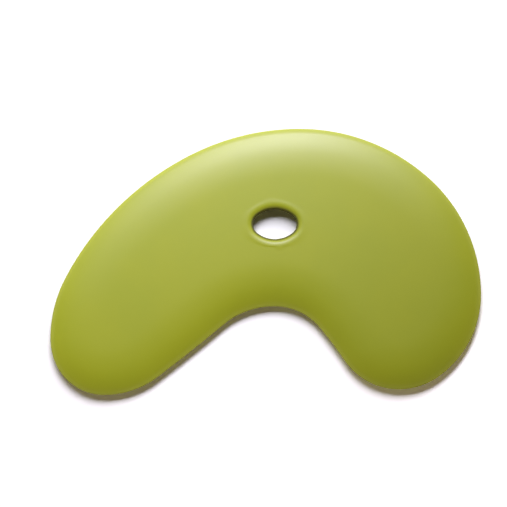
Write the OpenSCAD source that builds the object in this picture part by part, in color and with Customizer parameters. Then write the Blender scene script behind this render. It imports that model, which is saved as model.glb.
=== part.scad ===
// Pottery rib: a flexible hand tool for smoothing clay on the wheel, cast in one piece.
// It lies on its back face. X runs along its length, +Y towards its long back, +Z out of its front face.
// The origin is under the middle of its outline, on the surface that it lies on.

/* [Outline] */
// Length from the left end to the right end
length = 152; // [140:0.5:165]
// Width from the lowest point of the toe to the highest point of the back
width = 94; // [88:0.5:102]
// Distance of the back's highest point from the left end
back_x = 88; // [82:0.5:94]
// Height of the left end above the toe
left_y = 20; // [18:0.5:23]
// Distance of the toe's lowest point from the left end
toe_x = 19; // [17:0.5:22]
// Distance of the waist's highest point from the left end
waist_x = 79; // [76:0.5:83]
// Height of the waist above the toe
waist_y = 31.3; // [28:0.1:33]
// Distance of the heel's lowest point from the left end
heel_x = 123; // [119:0.5:127]
// Height of the heel above the toe
heel_y = 2; // [0.5:0.5:4]
// Height of the right end above the toe
right_y = 35.5; // [33:0.5:39]
// Radius of the back, to the left of its highest point
back_r = 85; // [70:1:100]
// Radius of the waist on the toe's side
waist_toe_r = 28; // [22:0.5:32]
// Radius of the waist on the heel's side
waist_heel_r = 21; // [16:0.5:24]

/* [Turns of the outline in degrees] */
// Turn of the back before its radius grows
back_turn = 26; // [20:1:30]
// Turn of the long shoulder that follows it
shoulder_turn = 36; // [30:1:42]
// Turn of the first half of the toe, below the left end
left_turn = 21; // [15:1:30]
// Turn of the second half of the toe, up to its leg
toe_turn = 37; // [34:1:39]
// Turn of the leg between the toe and the waist
toe_leg_turn = 3; // [1:0.5:5]
// Turn of the waist on the heel's side
waist_turn = 50; // [47:1:52]
// Turn of the leg between the waist and the heel
heel_leg_turn = 6; // [3:0.5:8]
// Turn of the heel's first half
heel_turn = 35; // [28:1:42]
// Turn of the right end, from its outermost point
right_turn = 48; // [42:1:54]

/* [Section] */
// Thickness in the middle
thickness = 6.35; // [5.5:0.05:7.5]
// Thickness of the round lip along the edge
lip = 1.2; // [0.8:0.1:2]
// Width of the taper from the lip up to the flat of each face
taper = 16.5; // [14:0.5:18]
// Slope of the taper in degrees where it leaves the lip
edge_slope = 20; // [17:0.5:23]
// Slope of the taper in degrees where its radius grows
shoulder_slope = 7.5; // [5:0.5:9]

/* [Hole] */
// Length of the oval hole
hole_length = 15.4; // [12:0.1:20]
// Width of the oval hole
hole_width = 10.4; // [8:0.1:13]
// Radius of the hole's two ends, in plan
hole_end_r = 3.8; // [3:0.1:4.4]
// Distance of the hole's middle from the left end
hole_x = 79.2; // [74:0.1:84]
// Height of the hole's middle above the toe
hole_y = 60.3; // [58:0.1:63]
// Radius of the roll that eases each edge of the hole
hole_roll = 2.3; // [1:0.1:2.8]

/* [Hidden] */
$fn = 192;

// Half of the thickness, half of the lip, and the roll of the hole limited by the plate
half = thickness / 2;
nose = lip / 2;
roll = min(hole_roll, half);

// Extra length that lets neighbouring solids overlap or a cut pass its face
spare = 1;

// Points where the outline is level or upright, from the middle of its box
back = [back_x - length / 2, width / 2];
left_end = [-length / 2, left_y - width / 2];
toe = [toe_x - length / 2, -width / 2];
waist = [waist_x - length / 2, waist_y - width / 2];
heel = [heel_x - length / 2, heel_y - width / 2];
right_end = [length / 2, right_y - width / 2];
hole = [hole_x - length / 2, hole_y - width / 2];

// Headings of the outline in degrees, running anticlockwise with the rib on its left
heading_back = 180 + back_turn;
heading_shoulder = heading_back + shoulder_turn;
heading_left = 270 + left_turn;
heading_leg = 360 + toe_turn;
heading_waist = heading_leg + toe_leg_turn;
heading_out = 360 - waist_turn;
heading_heel = heading_out - heel_leg_turn;
heading_right = 360 + heel_turn;
heading_top = 450 + right_turn;

// The unit vector to the left of a heading, and the step along an arc of radius 1 between two headings
function left(h) = [-sin(h), cos(h)];
function sweep(h, k) = [sin(k) - sin(h), cos(h) - cos(k)];

// The two radii with which arcs of unit steps a and b add up to the step d
function radii(d, a, b) = [cross(d, b), cross(a, d)] / cross(a, b);

shoulder_radii = radii(left_end - back - back_r * sweep(180, heading_back),
                       sweep(heading_back, heading_shoulder), sweep(heading_shoulder, 270));
left_radii = radii(toe - left_end, sweep(270, heading_left), sweep(heading_left, 360));
leg_radii = radii(waist - toe + waist_toe_r * sweep(heading_waist, 360),
                  sweep(360, heading_leg), sweep(heading_leg, heading_waist));
heel_radii = radii(heel - waist + waist_heel_r * sweep(360, heading_out),
                   sweep(heading_out, heading_heel), sweep(heading_heel, 360));
right_radii = radii(right_end - heel, sweep(360, heading_right), sweep(heading_right, 450));
top_radii = radii(back - right_end, sweep(450, heading_top), sweep(heading_top, 540));

// Stretches of the outline: heading at the start, heading at the end, and radius, negative where it is hollow
turns = [
  [180, heading_back, back_r],
  [heading_back, heading_shoulder, shoulder_radii[0]],
  [heading_shoulder, 270, shoulder_radii[1]],
  [270, heading_left, left_radii[0]],
  [heading_left, 360, left_radii[1]],
  [360, heading_leg, leg_radii[0]],
  [heading_leg, heading_waist, leg_radii[1]],
  [heading_waist, 360, -waist_toe_r],
  [360, heading_out, -waist_heel_r],
  [heading_out, heading_heel, heel_radii[0]],
  [heading_heel, 360, heel_radii[1]],
  [360, heading_right, right_radii[0]],
  [heading_right, 450, right_radii[1]],
  [450, heading_top, top_radii[0]],
  [heading_top, 540, top_radii[1]]
];

// The hole's oval, from its top, runs clockwise, so that the rib is on its left too
hole_a = hole_length / 2;
hole_b = hole_width / 2;
hole_side_r = (pow(hole_a - hole_end_r, 2) + pow(hole_b, 2) - pow(hole_end_r, 2))
              / (2 * (hole_b - hole_end_r));
hole_lean = atan2(hole_a - hole_end_r, hole_side_r - hole_b);
hole_top = hole + [0, hole_b];
hole_headings = [0, -hole_lean, -90, hole_lean - 180, -180, -hole_lean - 180, -270, hole_lean - 360, -360];
hole_turns = [for (i = [0 : 7]) [hole_headings[i], hole_headings[i + 1],
                                 i % 4 == 0 || i % 4 == 3 ? -hole_side_r : -hole_end_r]];

// A run of stretches gets its start points: each row becomes [start, heading, end heading, radius]
function start(run, origin, i) =
  i == 0 ? origin : start(run, origin, i - 1) + run[i - 1][2] * sweep(run[i - 1][0], run[i - 1][1]);
function placed(run, origin) = [for (i = [0 : len(run) - 1]) concat([start(run, origin, i)], run[i])];
outline = placed(turns, back);
oval = placed(hole_turns, hole_top);

// Points on a stretch s at a depth d from the edge: at its start, at its end, and where the two tangents meet
function centre(s) = s[0] + s[3] * left(s[1]);
function first(s, d) = centre(s) - (s[3] - d) * left(s[1]);
function last(s, d) = centre(s) - (s[3] - d) * left(s[2]);
function corner(s, d) = centre(s) - (s[3] - d) / cos(half_turn(s)) * left((s[1] + s[2]) / 2);
function half_turn(s) = (s[2] - s[1]) / 2;

// How deep a section has to reach to fill a stretch down to the depth d along its end normals
function reach(s, d) =
  s[3] > 0 ? min(s[3] - spare / 10, s[3] - (s[3] - d) * cos(half_turn(s)) + spare)
           : (d - s[3]) / cos(half_turn(s)) + s[3] + spare;

// Radii of the taper's two arcs, to a thousandth: the first leaves the lip, the second runs out into the flat
tightest = min([for (s = outline) if (s[3] > 0) s[3]]);
taper_span = [min(taper, tightest - 2 * spare) - nose * (1 - sin(edge_slope)), half - nose * cos(edge_slope)];
taper_radii = radii(taper_span,
                    [sin(edge_slope) - sin(shoulder_slope), cos(shoulder_slope) - cos(edge_slope)],
                    [sin(shoulder_slope), 1 - cos(shoulder_slope)]);
edge_r = round(1000 * taper_radii[0]) / 1000;
shoulder_r = round(1000 * taper_radii[1]) / 1000;

// Centre of the first arc, and the depths at which the taper leaves the lip, changes its radius and is flat
edge_centre_y = half - shoulder_r + (shoulder_r - edge_r) * cos(shoulder_slope);
edge_centre_x = nose + sqrt(pow(edge_r - nose, 2) - pow(edge_centre_y, 2));
lip_depth = nose - nose * (edge_centre_x - nose) / (edge_r - nose);
taper_depth = edge_centre_x + (shoulder_r - edge_r) * sin(shoulder_slope);
shoulder_depth = taper_depth - shoulder_r * sin(shoulder_slope);

// Moves a shape in three steps, so that no digit of a long number is lost
module place(v) {
  whole = [for (c = v) round(c)];
  fine = [for (i = [0 : len(v) - 1]) round(1000 * (v[i] - whole[i])) / 1000];
  translate(whole) translate(fine) translate(v - whole - fine) children();
}

// Section across the edge: X is the depth from the edge and Y the height from the middle of the plate
module edge_section(reach) {
  place([nose, 0]) circle(nose);
  intersection() {
    place([lip_depth, -half]) square([reach - lip_depth, thickness]);
    under_taper(1, reach);
    under_taper(-1, reach);
  }
}

// What lies under one face from the lip on: the taper's first arc, its second arc and the flat
module under_taper(side, reach) {
  intersection() {
    place([edge_centre_x, side * edge_centre_y]) circle(edge_r);
    place([shoulder_depth - 2 * taper, -half]) square([2 * taper, thickness]);
  }
  intersection() {
    place([taper_depth, side * (half - shoulder_r)]) circle(shoulder_r);
    place([shoulder_depth, -half]) square([reach, thickness]);
  }
  place([taper_depth, -half]) square([reach, thickness]);
}

// Section across the rim of the hole, with a roll on each face
module rim_section(reach) {
  for (side = [-1, 1]) place([roll, side * (half - roll)]) circle(roll);
  place([0, roll - half]) square([reach, thickness - 2 * roll]);
  place([roll, -half]) square([reach - roll, thickness]);
}

// One stretch of an edge: its section swept round the stretch's centre, between the normals at its ends
module stretch(s, depth) {
  bulge = s[3] > 0 ? [corner(s, -spare)] : [];
  hollow = s[3] > 0 ? [] : [corner(s, depth)];
  wedge = concat([first(s, -spare)], bulge, [last(s, -spare), last(s, depth)], hollow, [first(s, depth)]);
  turn = abs(s[2] - s[1]);
  from = min(s[1], s[2]) + (s[3] > 0 ? -90 : 90);
  margin = 10;
  intersection() {
    place([centre(s)[0], centre(s)[1], half])
      rotate_extrude(angle = turn + 2 * margin, start = from - margin)
        place([abs(s[3]), 0]) mirror([s[3] > 0 ? 1 : 0, 0]) children();
    translate([0, 0, -spare]) linear_extrude(thickness + 2 * spare) polygon(wedge);
  }
}

// The flat middle of the plate, from the depth d inside a run of stretches
function inner_corners(run, d) =
  [for (s = run) each (s[3] > 0 ? [first(s, d)] : [first(s, d), corner(s, d)])];

module edge() {
  depth = taper_depth + spare;
  for (s = outline) stretch(s, depth) edge_section(reach(s, depth));
}

module rim() {
  depth = roll + spare;
  for (s = oval) stretch(s, depth) rim_section(reach(s, depth));
}

module middle() {
  linear_extrude(thickness) difference() {
    polygon(inner_corners(outline, taper_depth + spare / 2));
    polygon(inner_corners(oval, roll + spare / 2));
  }
}

module rib_body() {
  color([0.66, 0.69, 0.30]) {
    edge();
    middle();
    rim();
  }
}

rib_body();
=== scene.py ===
import math

import bpy
import numpy as np
from bpy.props import FloatProperty, FloatVectorProperty, IntProperty, PointerProperty
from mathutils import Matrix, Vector


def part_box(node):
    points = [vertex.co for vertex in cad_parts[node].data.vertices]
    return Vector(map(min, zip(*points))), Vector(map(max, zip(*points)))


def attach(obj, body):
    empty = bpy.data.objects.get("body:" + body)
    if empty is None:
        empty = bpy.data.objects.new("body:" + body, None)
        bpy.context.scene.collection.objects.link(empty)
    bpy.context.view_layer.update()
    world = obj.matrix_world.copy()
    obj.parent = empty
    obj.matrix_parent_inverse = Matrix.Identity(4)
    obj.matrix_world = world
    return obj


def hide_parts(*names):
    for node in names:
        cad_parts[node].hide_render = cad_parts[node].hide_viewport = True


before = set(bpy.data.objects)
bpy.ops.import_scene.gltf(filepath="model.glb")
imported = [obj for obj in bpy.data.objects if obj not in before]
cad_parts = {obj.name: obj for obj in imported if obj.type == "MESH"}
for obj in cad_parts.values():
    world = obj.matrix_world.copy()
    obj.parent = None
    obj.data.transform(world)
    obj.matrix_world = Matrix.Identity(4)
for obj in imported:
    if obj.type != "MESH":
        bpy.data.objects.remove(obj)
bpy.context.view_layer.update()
NODE = "rib_body"
NODE_LOW, NODE_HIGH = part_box(NODE)
NODE_SIZE = NODE_HIGH - NODE_LOW
MM = 0.001
WHITE = (1, 1, 1, 1)
# Sockets of a Mix node that mixes colours, by number, because its other kinds of socket share their names.
MIX_FACTOR, MIX_FIRST, MIX_SECOND, MIX_RESULT = 0, 6, 7, 2
# Powers by which the mesh's rows crowd together: on the lip towards the seam, on the flat towards the hole.
LIP_CROWDING = 1.7
FLAT_CROWDING = 1.5

bl_info = {
    "name": "Pottery Rib",
    "version": (1, 0, 0),
    "blender": (4, 5, 0),
    "location": "View3D > Sidebar > Rib",
    "description": "Makes a flexible cast rib for smoothing clay, and the pale table that it lies on",
    "category": "Add Mesh",
}


def length(name, description, millimetres):
    """A length that the user may change, given in millimetres and kept in metres."""
    return FloatProperty(name=name, description=description, default=millimetres * MM,
                         unit="LENGTH", precision=5)


def turn(name, description, degrees):
    """A turn of the outline or of the section, given in degrees and kept in radians."""
    return FloatProperty(name=name, description=description, default=math.radians(degrees), subtype="ANGLE")


def share(name, description, value):
    """A plain number from 0 to 1."""
    return FloatProperty(name=name, description=description, default=value, min=0.0, max=1.0, precision=4)


def number(name, description, value):
    """A plain number."""
    return FloatProperty(name=name, description=description, default=value, precision=4)


def between(name, description, low, high):
    """Two shares between which something sets in."""
    return FloatVectorProperty(name=name, description=description, default=(low, high), size=2,
                               min=0.0, max=1.0, precision=4)


def colour(name, description, red, green, blue, most=1.0):
    """A colour in linear light. Only light, and what the camera alone sees, may go past 1."""
    return FloatVectorProperty(name=name, description=description, default=(red, green, blue),
                               subtype="COLOR", min=0.0, max=most, precision=4)


class RibOutline(bpy.types.PropertyGroup):
    """Where the outline is level or upright, and how far it turns between those points"""
    overall_length: length("Length", "From the left end to the right end", NODE_SIZE.x / MM)
    overall_width: length("Width", "From the toe to the back", NODE_SIZE.y / MM)
    back_x: length("Back", "Highest point of the back, from the left end", 88)
    left_y: length("Left end", "Height of the left end above the toe", 20)
    toe_x: length("Toe", "Lowest point of the toe, from the left end", 19)
    waist_x: length("Waist", "Highest point of the waist, from the left end", 79)
    waist_y: length("Waist height", "Height of the waist above the toe", 31.3)
    heel_x: length("Heel", "Lowest point of the heel, from the left end", 123)
    heel_y: length("Heel height", "Height of the heel above the toe", 2)
    right_y: length("Right end", "Height of the right end above the toe", 35.5)
    back_r: length("Back radius", "Radius of the back, left of its highest point", 85)
    waist_toe_r: length("Waist radius, toe side", "Radius of the waist on the toe's side", 28)
    waist_heel_r: length("Waist radius, heel side", "Radius of the waist on the heel's side", 21)
    back_turn: turn("Back turn", "Turn of the back before its radius grows", 26)
    shoulder_turn: turn("Shoulder turn", "Turn of the long shoulder that follows the back", 36)
    left_turn: turn("Left turn", "Turn of the first half of the toe", 21)
    toe_turn: turn("Toe turn", "Turn of the second half of the toe", 37)
    toe_leg_turn: turn("Toe leg turn", "Turn of the leg between the toe and the waist", 3)
    waist_turn: turn("Waist turn", "Turn of the waist on the heel's side", 50)
    heel_leg_turn: turn("Heel leg turn", "Turn of the leg between the waist and the heel", 6)
    heel_turn: turn("Heel turn", "Turn of the heel's first half", 35)
    right_turn: turn("Right turn", "Turn of the right end", 48)


class RibSection(bpy.types.PropertyGroup):
    """The rib's thickness, its taper and the fine line along its edge"""
    thickness: length("Thickness", "Thickness in the middle", NODE_SIZE.z / MM)
    lip: length("Lip", "Thickness of the round lip along the edge", 1.1)
    taper: length("Taper", "Width of the taper from the edge to the flat", 16.5)
    edge_slope: turn("Edge slope", "Slope of the taper where it leaves the lip", 22)
    shoulder_slope: turn("Shoulder slope", "Slope of the taper where its radius grows", 7.5)
    ease: length("Ease", "Half of the width over which the taper runs out into the flat", 1.8)
    seam_height: length("Seam height", "How far the mould's parting line stands out of the lip", 0.06)
    seam_width: length("Seam width", "Half of the width of the parting line", 0.12)
    wave: length("Wave", "Depth of the shallow waves that casting leaves in the faces", 0.03)


class RibHole(bpy.types.PropertyGroup):
    """The oval hole and the rounding that eases its edges"""
    hole_length: length("Length", "Length of the hole", 15.4)
    hole_width: length("Width", "Width of the hole", 10.4)
    end_r: length("End radius", "Radius of the hole's two ends in plan", 3.8)
    x: length("Place along", "Middle of the hole, from the left end", 79.2)
    y: length("Place across", "Middle of the hole, above the toe", 60.3)
    roll: length("Roll", "Width in plan of the rounding from the hole's edge to its rim", 2.55)
    plan_power: number("Plan power", "Power of the rounding across", 2.5)
    up_power: number("Up power", "Power of the rounding upwards", 2.8)
    ridge: length("Ridge", "How far the hole's rim stands out of the faces", 0.055)
    ridge_width: length("Ridge width", "Distance from the roll over which the ridge fades out", 1.8)


class RibMesh(bpy.types.PropertyGroup):
    """How finely the surface is divided"""
    around: IntProperty(name="Around", description="Columns round the outline", default=720, min=60)
    roll_rows: IntProperty(name="Roll rows", description="Rows on one roll of the hole", default=16, min=3)
    flat_rows: IntProperty(name="Flat rows", description="Rows on the flat of one face", default=20, min=4)
    taper_rows: IntProperty(name="Taper rows", description="Rows on the taper of one face", default=22, min=4)
    lip_rows: IntProperty(name="Lip rows", description="Rows on half of the lip", default=12, min=3)


class RibFinish(bpy.types.PropertyGroup):
    """Cast polyurethane"""
    body: colour("Body", "Colour of the thick middle", 0.365, 0.420, 0.000)
    # The edge colour is a painted glow: a lighter, purer colour on the thin lip that stands in for light
    # coming through it.
    edge: colour("Edge", "Colour of the thin lip, where light comes through", 0.386, 0.444, 0.006)
    cloud: colour("Cloud", "Colour of the faint clouds in the casting", 0.349, 0.409, 0.001)
    # The wall colour is painted shade: the hole's wall and the steep part of its rounding are darkened to
    # stand in for the shade that falls in the hole.
    wall: colour("Wall", "Colour deep in the hole, where no light comes through", 0.120, 0.130, 0.000)
    painted_lip_glow_span: between("Edge span", "How near the lip its colour sets in, 1 at the lip", 0.90, 0.97)
    painted_hole_shade_span: between("Wall span", "How near the hole its wall's colour sets in, 1 in it", 0.34, 0.66)
    roughness: share("Roughness", "Roughness of the satin skin", 0.50)
    edge_roughness: share("Edge roughness", "Roughness of the lip, trimmed at the parting line", 0.70)
    wall_roughness: share("Wall roughness", "Roughness of the hole's wall, left matt by the core", 1.0)
    edge_wear: between("Edge wear", "How near the lip its roughness sets in, 1 at the lip", 0.88, 0.96)
    wall_wear: between("Wall wear", "How near the hole its wall's roughness sets in, 1 in it", 0.20, 0.60)
    rough_spread: share("Roughness spread", "How far the grain moves the roughness either way", 0.03)
    shine: share("Shine", "Specular level of the skin", 0.76)
    refraction: number("Refraction", "Index of refraction of the skin", 1.58)
    glow: share("Glow", "How much light travels under the surface", 0.12)
    glow_depth: length("Glow depth", "How deep light travels under the surface", 1.6)
    glow_reach: colour("Glow reach", "How deep each colour travels, as a share of that", 1.0, 0.9, 0.12)
    grain: length("Grain", "Size of the grain of the moulded skin", 0.35)
    grain_depth: length("Grain depth", "Depth of the grain", 0.004)
    grain_span: between("Grain span", "Noise levels between which the grain turns rough", 0.2, 0.8)
    cloud_size: length("Cloud size", "Size of the clouds", 22)
    cloud_span: between("Cloud span", "Noise levels between which the clouds set in", 0.35, 0.70)


class RibStage(bpy.types.PropertyGroup):
    """The table, the lamp, the sky and the camera"""
    table_colour: colour("Table", "Colour of the table", 0.868, 0.900, 0.760)
    table_seen: colour("Table seen", "Colour of the table to the camera", 1.198, 1.208, 1.030, most=4.0)
    table_side: length("Table side", "Side of the table", 6000)
    table_gap: length("Table gap", "How far the table lies under the rib", 0.02)
    fade: length("Fade", "Distance over which the table's lightness to the camera grows by e", 200)
    fade_turn: turn("Fade turn", "Where the lamp's light falls off to, from straight down in the view", 27)
    fade_limit: number("Fade limit", "Most that the power of e may be, either way", 0.8)
    white_from: length("White from", "Distance from the middle where the table starts to turn white", 98)
    white_to: length("White to", "Distance from the middle where the table has turned plain white", 180)
    view_width: length("View width", "Width that the photograph takes in at the rib", 178.93)
    view_x: length("View centre along", "Centre of the view, from the middle of the rib", -4.32)
    view_y: length("View centre across", "Centre of the view, from the middle of the rib", 3.0)
    lens: number("Lens", "Focal length in millimetres", 100.0)
    key_power: number("Key", "Power of the large soft lamp in watts", 12.0)
    key_colour: colour("Key colour", "Colour of the large soft lamp", 0.965, 0.94, 1.25, most=4.0)
    key_width: length("Key width", "Width of the large soft lamp", 450)
    key_height: length("Key height", "Height of the large soft lamp's face", 450)
    key_x: length("Key along", "Place of the large soft lamp along the rib", -24)
    key_y: length("Key across", "Place of the large soft lamp across the rib", 456)
    key_z: length("Key up", "How high the large soft lamp stands", 470)
    aim_x: length("Aim along", "Where the lamp's axis meets the table, along the rib", -385)
    aim_y: length("Aim across", "Where the lamp's axis meets the table, across the rib", 610)
    sky: colour("Sky", "Light from low down all round, at the horizon", 1.00, 0.77, 0.60, most=4.0)


def left_of(heading):
    """The unit vector to the left of a heading: (-sin h, cos h)."""
    return np.stack([-np.sin(heading), np.cos(heading)], axis=-1)


def sweep(start, end):
    """The step along an arc of radius 1 between two headings: (sin k - sin h, cos h - cos k)."""
    return np.array([np.sin(end) - np.sin(start), np.cos(start) - np.cos(end)])


def two_radii(step, first, second):
    """The radii a and b for which a times one unit step plus b times the other is the whole step."""
    return np.linalg.solve(np.stack([first, second], axis=1), step)


def arcs_from(origin, headings, radii):
    """Tangent arcs as (start points, headings, radii): each start is the last one plus its radius times
    its sweep. A radius is negative where the edge is hollow."""
    headings, radii = np.asarray(headings), np.asarray(radii)
    steps = radii[:, None] * sweep(headings[:-1], headings[1:]).T
    starts = np.asarray(origin) + np.vstack([np.zeros(2), np.cumsum(steps, axis=0)[:-1]])
    return starts, headings, radii


def outline_arcs(o):
    """The outline, anticlockwise from the highest point of the back, with the rib on its left."""
    corner = np.array([o.overall_length, o.overall_width]) / 2
    back = np.array([o.back_x, o.overall_width]) - corner
    left_end = np.array([0, o.left_y]) - corner
    toe = np.array([o.toe_x, 0]) - corner
    waist = np.array([o.waist_x, o.waist_y]) - corner
    heel = np.array([o.heel_x, o.heel_y]) - corner
    right_end = np.array([o.overall_length, o.right_y]) - corner
    half_turn, quarter = math.pi, math.pi / 2
    west, south, east = half_turn, 3 * quarter, 4 * quarter
    h_back = west + o.back_turn
    h_shoulder = h_back + o.shoulder_turn
    h_left = south + o.left_turn
    h_leg = east + o.toe_turn
    h_waist = h_leg + o.toe_leg_turn
    h_out = east - o.waist_turn
    h_heel = h_out - o.heel_leg_turn
    h_right = east + o.heel_turn
    h_top = east + quarter + o.right_turn
    shoulder = two_radii(left_end - back - o.back_r * sweep(west, h_back),
                         sweep(h_back, h_shoulder), sweep(h_shoulder, south))
    end = two_radii(toe - left_end, sweep(south, h_left), sweep(h_left, east))
    leg = two_radii(waist - toe + o.waist_toe_r * sweep(h_waist, east),
                    sweep(east, h_leg), sweep(h_leg, h_waist))
    lower = two_radii(heel - waist + o.waist_heel_r * sweep(east, h_out),
                      sweep(h_out, h_heel), sweep(h_heel, east))
    right = two_radii(right_end - heel, sweep(east, h_right), sweep(h_right, east + quarter))
    top = two_radii(back - right_end, sweep(east + quarter, h_top), sweep(h_top, east + half_turn))
    headings = [west, h_back, h_shoulder, south, h_left, east, h_leg, h_waist, east,
                h_out, h_heel, east, h_right, east + quarter, h_top, east + half_turn]
    radii = [o.back_r, *shoulder, *end, *leg, -o.waist_toe_r, -o.waist_heel_r, *lower, *right, *top]
    return arcs_from(back, headings, radii)


def oval_arcs(o, h):
    """The hole's oval, clockwise from its top, so that the rib is on its left too. Its sides have the
    radius ((a - r)^2 + b^2 - r^2) / (2 (b - r)), with a and b its half length and half width and r its
    ends' radius."""
    middle = np.array([h.x - o.overall_length / 2, h.y - o.overall_width / 2])
    a, b, r = h.hole_length / 2, h.hole_width / 2, h.end_r
    side = ((a - r) ** 2 + b * b - r * r) / (2 * (b - r))
    lean = math.atan2(a - r, side - b)
    headings = [0, -lean, lean - math.pi, -lean - math.pi, lean - 2 * math.pi, -2 * math.pi]
    return arcs_from(middle + [0, b], headings, [-side, -r, -side, -r, -side])


def along(arcs, shares):
    """Points and left normals at shares of the arcs' whole length. Each point is its arc's centre minus
    the radius times the left normal."""
    starts, headings, radii = arcs
    lengths = np.abs(radii * np.diff(headings))
    ends = np.concatenate([[0], np.cumsum(lengths)])
    at = np.mod(shares, 1.0) * ends[-1]
    k = np.clip(np.searchsorted(ends, at, side="right") - 1, 0, len(radii) - 1)
    heading = headings[k] + np.diff(headings)[k] * (at - ends[k]) / lengths[k]
    centres = starts + radii[:, None] * left_of(headings[:-1])
    normal = left_of(heading)
    return centres[k] - radii[k][:, None] * normal, normal


def taper_arcs(s, half):
    """Radii of the taper's two arcs and the first one's centre, for a flat at a half thickness. The arcs
    turn by the edge slope e down to the shoulder slope h, then down to none, and add up to the span
    between lip and flat: r (sin e - sin h) + R sin h across and r (cos h - cos e) + R (1 - cos h) up."""
    e, h, nose = s.edge_slope, s.shoulder_slope, s.lip / 2
    span = np.array([s.taper - nose * (1 - math.sin(e)), half - nose * math.cos(e)])
    first = [math.sin(e) - math.sin(h), math.cos(h) - math.cos(e)]
    near, far = two_radii(span, first, [math.sin(h), 1 - math.cos(h)])
    centre = s.taper - (far - near) * math.sin(h), half - far + (far - near) * math.cos(h)
    return near, far, centre


def face_height(s, depth):
    """Height of a face over the mid-plane at a depth from the edge: the two arcs of the taper, and
    between m inside and m outside the depth w where it ends, the flat less (w + m - d)^3 / (12 m R), with
    R the second arc's radius. Both arcs sink by the ease's m^2 / (6 R), which keeps the slope even."""
    half, m, w = s.thickness / 2, s.ease, s.taper
    far = taper_arcs(s, half)[1]
    eased = half - m * m / (6 * far)
    near, far, centre = taper_arcs(s, eased)
    second = eased - far + np.sqrt(far ** 2 - np.clip(w - depth, 0, None) ** 2)
    first = centre[1] + np.sqrt(near ** 2 - (centre[0] - depth) ** 2)
    flat = half - np.clip(w + m - depth, 0, 2 * m) ** 3 / (12 * m * far)
    return np.select([depth > w - m, depth > w - far * math.sin(s.shoulder_slope)], [flat, second], first)


def lip_rows(s, rows):
    """Depths and heights of the lip from the taper down to the mid-plane: a round of radius n, pressed in
    by the seam's height e except at the seam itself, with w the seam's width. At the turn t,
    z = n sin t and d = n (1 - cos t) + e (1 - exp(-(z / w)^2))."""
    nose = s.lip / 2
    t = (math.pi / 2 - s.edge_slope) * np.linspace(1, 0, rows) ** LIP_CROWDING
    z = nose * np.sin(t)
    d = nose * (1 - np.cos(t)) + s.seam_height * (1 - np.exp(-((z / s.seam_width) ** 2)))
    return d, z


def rim_rows(h, half, rows):
    """Distances from the hole's edge and heights of its rounding, from the mid-plane up to the crest, in
    even turns t. With p and q the two powers, (1 - out / roll)^p + (up / half)^q = 1, so
    out = roll (1 - cos(t)^(2 / p)) and up = half sin(t)^(2 / q)."""
    t = np.linspace(0, math.pi / 2, rows)
    cosine, sine = np.clip(np.cos(t), 0, 1), np.sin(t)
    return h.roll * (1 - cosine ** (2 / h.plan_power)), half * sine ** (2 / h.up_power)


def waves(points):
    """Shallow waves between 0 and 1 over the plan, as a mean of slow sines along four directions."""
    x, y = points[..., 0] / MM, points[..., 1] / MM
    mix = np.sin(x / 9.1 + 0.6 * np.sin(y / 13)) + np.sin(y / 7.7 + 1.3 + 0.5 * np.sin(x / 17))
    mix = mix + np.sin((x + y) / 12.3 + 2.1) + np.sin((x - 0.7 * y) / 15.1 + 4.0)
    return 0.5 + mix / 8


def bent_lines(start, end, centre, v):
    """Points at shares v of lines that bend round a centre: the bearing from the centre and the distance
    to it both change evenly from the start to the end."""
    def polar(points):
        across, up = (points - centre).T
        return np.stack([np.arctan2(across, up), np.hypot(across, up)])

    bearing, distance = polar(start)[:, None] * (1 - v) + polar(end)[:, None] * v
    return centre + distance[..., None] * np.stack([np.sin(bearing), np.cos(bearing)], axis=-1)


def smooth(value):
    """Carries 0 to 1 on a soft step, 3 v^2 - 2 v^3, and holds it at its ends."""
    v = np.clip(value, 0, 1)
    return v * v * (3 - 2 * v)


def half_surface(outline, section, hole, cuts):
    """The front half of the rib as a grid of rows by columns: up the wall and roll of the hole, across
    the flat on lines that bend round the waist, down the taper and round the lip to the mid-plane. The
    flat lies lower than the hole's rim by the ridge and by the waves. Returns the points, the depth from
    the edge at each row, and where the rim's rows end."""
    edge, inward = along(outline_arcs(outline), np.arange(cuts.around) / cuts.around)
    rim, outward = along(oval_arcs(outline, hole), -np.arange(cuts.around) / cuts.around)
    half, m = section.thickness / 2, section.ease
    rim_out, rim_up = rim_rows(hole, half, cuts.roll_rows)
    lip_in, lip_up = lip_rows(section, cuts.lip_rows)
    taper_in = np.linspace(section.taper + m, lip_in[0], cuts.taper_rows)[:-1]
    edge_in = np.concatenate([taper_in, lip_in])
    edge_up = np.concatenate([face_height(section, taper_in), lip_up])
    rim_plan = rim + rim_out[:, None, None] * outward
    edge_plan = edge + edge_in[:, None, None] * inward
    bend = np.array([outline.waist_x - outline.overall_length / 2,
                     outline.waist_y - outline.waist_toe_r - outline.overall_width / 2])
    v = (np.arange(1, cuts.flat_rows + 1) / (cuts.flat_rows + 1))[:, None] ** FLAT_CROWDING
    flat_plan = bent_lines(rim_plan[-1], edge_plan[0], bend, v)
    plan = np.concatenate([rim_plan, flat_plan, edge_plan])
    up = np.concatenate([rim_up, np.full(cuts.flat_rows, half), edge_up])[:, None]
    off_rim = np.linalg.norm(plan - rim_plan[-1], axis=2)
    off_rim[:len(rim_up)] = 0
    inside = smooth(np.concatenate([np.ones(len(rim_up) + cuts.flat_rows), edge_in / section.taper]))[:, None]
    sink = (hole.ridge + section.wave * waves(plan)) * smooth(off_rim / hole.ridge_width)
    points = np.concatenate([plan, (up - inside * sink)[..., None]], axis=2)
    depth = np.concatenate([np.full(len(rim_up) + cuts.flat_rows, section.taper), edge_in])
    return points, depth, len(rim_up)


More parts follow.
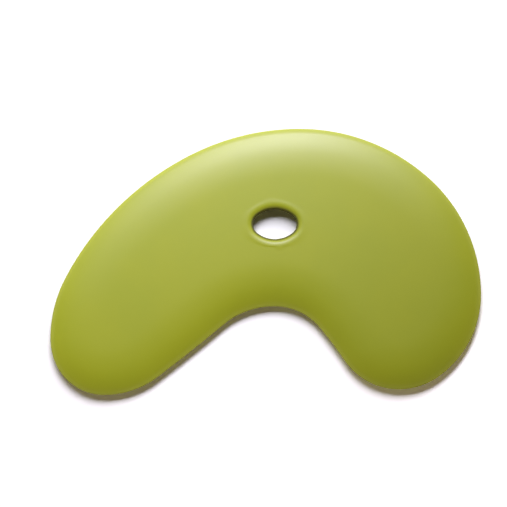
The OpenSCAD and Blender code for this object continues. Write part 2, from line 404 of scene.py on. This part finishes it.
def ring_mesh(name, points, maps):
    """A mesh from a grid that closes on itself both ways, with a UV map of its two parameters and a point
    attribute for each map over its rows."""
    rows, columns = points.shape[:2]
    mesh = bpy.data.meshes.new(name)
    index = np.arange(rows * columns).reshape(rows, columns)
    right, up = np.roll(index, -1, axis=1), np.roll(index, -1, axis=0)
    corner = np.roll(right, -1, axis=0)
    quads = np.stack([index, right, corner, up], axis=-1).reshape(-1, 4)
    mesh.vertices.add(rows * columns)
    mesh.vertices.foreach_set("co", points.reshape(-1).astype(np.float32))
    mesh.loops.add(quads.size)
    mesh.loops.foreach_set("vertex_index", quads.reshape(-1).astype(np.int32))
    mesh.polygons.add(len(quads))
    mesh.polygons.foreach_set("loop_start", np.arange(0, quads.size, 4, dtype=np.int32))
    mesh.update(calc_edges=True)
    mesh.polygons.foreach_set("use_smooth", np.ones(len(quads), dtype=bool))
    r, c = np.divmod(np.arange(rows * columns), columns)
    u = (c[:, None] + [0, 1, 1, 0]) / columns
    v = (r[:, None] + [0, 0, 1, 1]) / rows
    uv = mesh.uv_layers.new(name="Around")
    uv.data.foreach_set("uv", np.stack([u, v], axis=-1).reshape(-1).astype(np.float32))
    for label, values in maps.items():
        attribute = mesh.attributes.new(label, "FLOAT", "POINT")
        attribute.data.foreach_set("value", np.repeat(values, columns).astype(np.float32))
    mesh.validate()
    return mesh


def rib_mesh(scene):
    """The whole rib: the front half, and the back half as its mirror image in the mid-plane, joined at
    the wall of the hole and at the seam along the lip. The maps say how near a point is to the lip and to
    the hole's wall."""
    outline, section, hole, cuts = scene.rib_outline, scene.rib_section, scene.rib_hole, scene.rib_mesh
    front, depth, wall_rows = half_surface(outline, section, hole, cuts)
    back = front[-2:0:-1] * [1, 1, -1]
    points = np.concatenate([front, back]) + [0, 0, NODE_LOW.z + section.thickness / 2]
    points[..., :2] += [NODE_LOW.x + outline.overall_length / 2, NODE_LOW.y + outline.overall_width / 2]
    near_hole = np.concatenate([np.linspace(1, 0, wall_rows), np.zeros(len(front) - wall_rows)])
    maps = {"near_lip": np.clip(1 - depth / section.taper, 0, 1), "near_hole": near_hole}
    both = {label: np.concatenate([values, values[-2:0:-1]]) for label, values in maps.items()}
    return ring_mesh("rib", points, both)


class Nodes:
    """A short way to lay out one node tree, from empty."""

    def __init__(self, tree):
        self.tree = tree
        self.tree.nodes.clear()

    def set(self, socket, value):
        """Gives a socket a number, a colour or another node's output."""
        if isinstance(value, bpy.types.NodeSocket):
            self.tree.links.new(value, socket)
        else:
            socket.default_value = value

    def add(self, kind, values=None, **settings):
        """A node of that kind with its settings and its inputs."""
        node = self.tree.nodes.new(kind)
        for key, value in settings.items():
            setattr(node, key, value)
        for key, value in (values or {}).items():
            self.set(node.inputs[key], value)
        return node

    def math(self, operation, first, second=None, **settings):
        """The result of a sum on one or two numbers."""
        values = {0: first} if second is None else {0: first, 1: second}
        return self.add("ShaderNodeMath", values, operation=operation, **settings).outputs[0]

    def blend(self, factor, first, second):
        """A mix of two colours by a factor."""
        values = {MIX_FACTOR: factor, MIX_FIRST: first, MIX_SECOND: second}
        return self.add("ShaderNodeMix", values, data_type="RGBA").outputs[MIX_RESULT]

    def ranged(self, value, low, high, to_low, to_high, smooth=True):
        """A value carried from one range to another, and held at its ends."""
        values = {"Value": value, "From Min": low, "From Max": high, "To Min": to_low, "To Max": to_high}
        step = "SMOOTHSTEP" if smooth else "LINEAR"
        return self.add("ShaderNodeMapRange", values, interpolation_type=step).outputs["Result"]


def new_material(name):
    """A material, and its node tree to lay out."""
    material = bpy.data.materials.new(name)
    material.use_nodes = True
    return material, Nodes(material.node_tree)


def polyurethane(finish):
    """Satin cast polyurethane: faint clouds in the body, a brighter and purer colour on the thin lip as a
    painted glow of light coming through it, a dark wall in the hole as painted shade, a fine moulded
    grain, and a lip and a hole's wall that are rougher than the faces."""
    material, n = new_material("polyurethane")
    place = n.add("ShaderNodeTexCoord").outputs["Object"]
    lip = n.add("ShaderNodeAttribute", attribute_name="near_lip").outputs["Fac"]
    hole = n.add("ShaderNodeAttribute", attribute_name="near_hole").outputs["Fac"]
    cloud = n.add("ShaderNodeTexNoise", {"Vector": place, "Scale": 1 / finish.cloud_size,
                                         "Detail": 3.0, "Roughness": 0.45}).outputs["Fac"]
    grain = n.add("ShaderNodeTexNoise", {"Vector": place, "Scale": 1 / finish.grain,
                                         "Detail": 2.0}).outputs["Fac"]
    skin = n.blend(n.ranged(cloud, *finish.cloud_span, 0.0, 1.0), (*finish.body, 1), (*finish.cloud, 1))
    # Painted glow: the thin lip gets the lighter edge colour, which stands in for light coming through it.
    skin = n.blend(n.ranged(lip, *finish.painted_lip_glow_span, 0.0, 1.0), skin, (*finish.edge, 1))
    # Painted shade: the hole's wall and the steep part of its rounding get the dark wall colour, which stands
    # in for the shade in the hole.
    skin = n.blend(n.ranged(hole, *finish.painted_hole_shade_span, 0.0, 1.0), skin, (*finish.wall, 1))
    worn = n.ranged(lip, *finish.edge_wear, finish.roughness, finish.edge_roughness)
    worn = n.ranged(hole, *finish.wall_wear, worn, finish.wall_roughness)
    spread = n.ranged(grain, *finish.grain_span, -finish.rough_spread, finish.rough_spread, smooth=False)
    bump = n.add("ShaderNodeBump", {"Height": grain, "Strength": 1.0, "Distance": finish.grain_depth})
    shader = n.add("ShaderNodeBsdfPrincipled", {
        "Base Color": skin, "Roughness": n.math("ADD", worn, spread), "IOR": finish.refraction,
        "Specular IOR Level": finish.shine, "Normal": bump.outputs["Normal"],
        "Subsurface Weight": finish.glow, "Subsurface Radius": finish.glow_reach,
        "Subsurface Scale": finish.glow_depth})
    n.add("ShaderNodeOutputMaterial", {"Surface": shader.outputs["BSDF"]})
    return material


def table_top(stage):
    """A matt pale table. To the camera it is lighter by a factor that grows as the lamp's light falls
    off, as e^(s / fade) at a distance s along that direction, so that it looks evenly white and keeps the
    rib's shadow. Further out, where no shadow falls, it is plain white to the camera."""
    material, n = new_material("table")
    path = n.add("ShaderNodeLightPath").outputs
    seen = n.math("MAXIMUM", path["Is Camera Ray"], path["Is Glossy Ray"])
    seen = n.math("MAXIMUM", seen, path["Is Transmission Ray"])
    place = n.add("ShaderNodeTexCoord").outputs["Object"]
    away = (math.sin(stage.fade_turn) / stage.fade, -math.cos(stage.fade_turn) / stage.fade, 0)
    far = n.add("ShaderNodeVectorMath", {0: place, 1: away}, operation="DOT_PRODUCT").outputs["Value"]
    limit = stage.fade_limit
    gain = n.math("EXPONENT", n.ranged(far, -limit, limit, -limit, limit, smooth=False))
    lit = n.add("ShaderNodeVectorMath", {0: stage.table_seen, "Scale": gain}, operation="SCALE").outputs[0]
    plain = n.add("ShaderNodeBsdfDiffuse", {"Color": (*stage.table_colour, 1)}).outputs[0]
    bright = n.add("ShaderNodeBsdfDiffuse", {"Color": lit}).outputs[0]
    apart = n.add("ShaderNodeVectorMath", {0: place}, operation="LENGTH").outputs["Value"]
    outer = n.ranged(apart, stage.white_from, stage.white_to, 0.0, 1.0)
    white = n.add("ShaderNodeEmission", {"Color": WHITE, "Strength": 1.0}).outputs[0]
    shown = n.add("ShaderNodeMixShader", {0: outer, 1: bright, 2: white}).outputs[0]
    mix = n.add("ShaderNodeMixShader", {0: seen, 1: plain, 2: shown}).outputs[0]
    n.add("ShaderNodeOutputMaterial", {"Surface": mix})
    material.cycles.emission_sampling = "NONE"
    return material


class RIB_OT_body(bpy.types.Operator):
    """Make the rib's surface in polyurethane, in the place of the plain solid"""
    bl_idname = "rib.make_body"
    bl_label = "Make the rib"

    def execute(self, context):
        mesh = rib_mesh(context.scene)
        mesh.materials.append(polyurethane(context.scene.rib_finish))
        rib = bpy.data.objects.new("rib", mesh)
        context.scene.collection.objects.link(rib)
        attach(rib, "root")
        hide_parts(NODE)
        return {"FINISHED"}


class RIB_OT_stage(bpy.types.Operator):
    """Make the pale table, the soft lamp, the sky and the camera over the rib"""
    bl_idname = "rib.make_stage"
    bl_label = "Make the stage"

    def execute(self, context):
        scene, stage = context.scene, context.scene.rib_stage
        self.make_table(scene, stage)
        self.make_lamp(scene, stage)
        self.make_sky(scene, stage)
        self.make_camera(scene, stage)
        scene.view_settings.view_transform = "Standard"
        return {"FINISHED"}

    def make_table(self, scene, stage):
        """A square just under the rib."""
        r, z = stage.table_side / 2, NODE_LOW.z - stage.table_gap
        mesh = bpy.data.meshes.new("table")
        mesh.from_pydata([(-r, -r, z), (r, -r, z), (r, r, z), (-r, r, z)], [], [(0, 1, 2, 3)])
        mesh.materials.append(table_top(stage))
        table = bpy.data.objects.new("table", mesh)
        scene.collection.objects.link(table)

    def make_lamp(self, scene, stage):
        """One large soft lamp that faces past the rib, so that its light falls off towards the heel."""
        data = bpy.data.lights.new("key", "AREA")
        data.shape = "RECTANGLE"
        data.size = stage.key_width
        data.size_y = stage.key_height
        data.energy = stage.key_power
        data.color = stage.key_colour
        lamp = bpy.data.objects.new("key", data)
        lamp.location = (stage.key_x, stage.key_y, stage.key_z)
        lamp.rotation_mode = "QUATERNION"
        axis = lamp.location - Vector((stage.aim_x, stage.aim_y, 0))
        lamp.rotation_quaternion = axis.to_track_quat("Z", "Y")
        scene.collection.objects.link(lamp)

    def make_sky(self, scene, stage):
        """A warm world that is dark overhead and light low down, as the square of 1 - z for a ray that
        climbs by z, and is white to the camera."""
        world = bpy.data.worlds.new("sky")
        world.use_nodes = True
        n = Nodes(world.node_tree)
        place = n.add("ShaderNodeTexCoord").outputs["Generated"]
        climb = n.add("ShaderNodeSeparateXYZ", {0: place}).outputs["Z"]
        glow = n.math("POWER", n.math("SUBTRACT", 1, climb, use_clamp=True), 2)
        camera = n.add("ShaderNodeLightPath").outputs["Is Camera Ray"]
        tint = n.blend(camera, (*stage.sky, 1), WHITE)
        strength = n.math("MAXIMUM", camera, glow)
        light = n.add("ShaderNodeBackground", {"Color": tint, "Strength": strength}).outputs[0]
        n.add("ShaderNodeOutputWorld", {"Surface": light})
        scene.world = world

    def make_camera(self, scene, stage):
        """Straight above, so far away that the frame's width takes in the view width at the rib's
        mid-plane."""
        data = bpy.data.cameras.new("camera")
        data.lens = stage.lens
        distance = stage.view_width * stage.lens / data.sensor_width
        camera = bpy.data.objects.new("camera", data)
        camera.location = (stage.view_x, stage.view_y, NODE_LOW.z + NODE_SIZE.z / 2 + distance)
        scene.collection.objects.link(camera)
        scene.camera = camera


class RIB_PT_panel(bpy.types.Panel):
    """Lists the rib's sizes and finish, with a button for each thing to make"""
    bl_idname = "RIB_PT_panel"
    bl_label = "Pottery Rib"
    bl_space_type = "VIEW_3D"
    bl_region_type = "UI"
    bl_category = "Rib"

    def draw(self, context):
        for button in OPERATORS:
            self.layout.operator(button.bl_idname)
        for name, group in GROUPS.items():
            box = self.layout.box()
            box.label(text=group.__doc__)
            for key in group.__annotations__:
                box.prop(getattr(context.scene, name), key)


GROUPS = {
    "rib_outline": RibOutline,
    "rib_section": RibSection,
    "rib_hole": RibHole,
    "rib_mesh": RibMesh,
    "rib_finish": RibFinish,
    "rib_stage": RibStage,
}
OPERATORS = (RIB_OT_body, RIB_OT_stage)


def register():
    for cls in (*GROUPS.values(), *OPERATORS, RIB_PT_panel):
        bpy.utils.register_class(cls)
    for name, group in GROUPS.items():
        setattr(bpy.types.Scene, name, PointerProperty(type=group))


def unregister():
    for name in GROUPS:
        delattr(bpy.types.Scene, name)
    for cls in (RIB_PT_panel, *OPERATORS, *GROUPS.values()):
        bpy.utils.unregister_class(cls)


def main():
    """Registers the add-on and makes the rib and its stage."""
    register()
    bpy.ops.rib.make_body()
    bpy.ops.rib.make_stage()


if __name__ == "__main__":
    main()
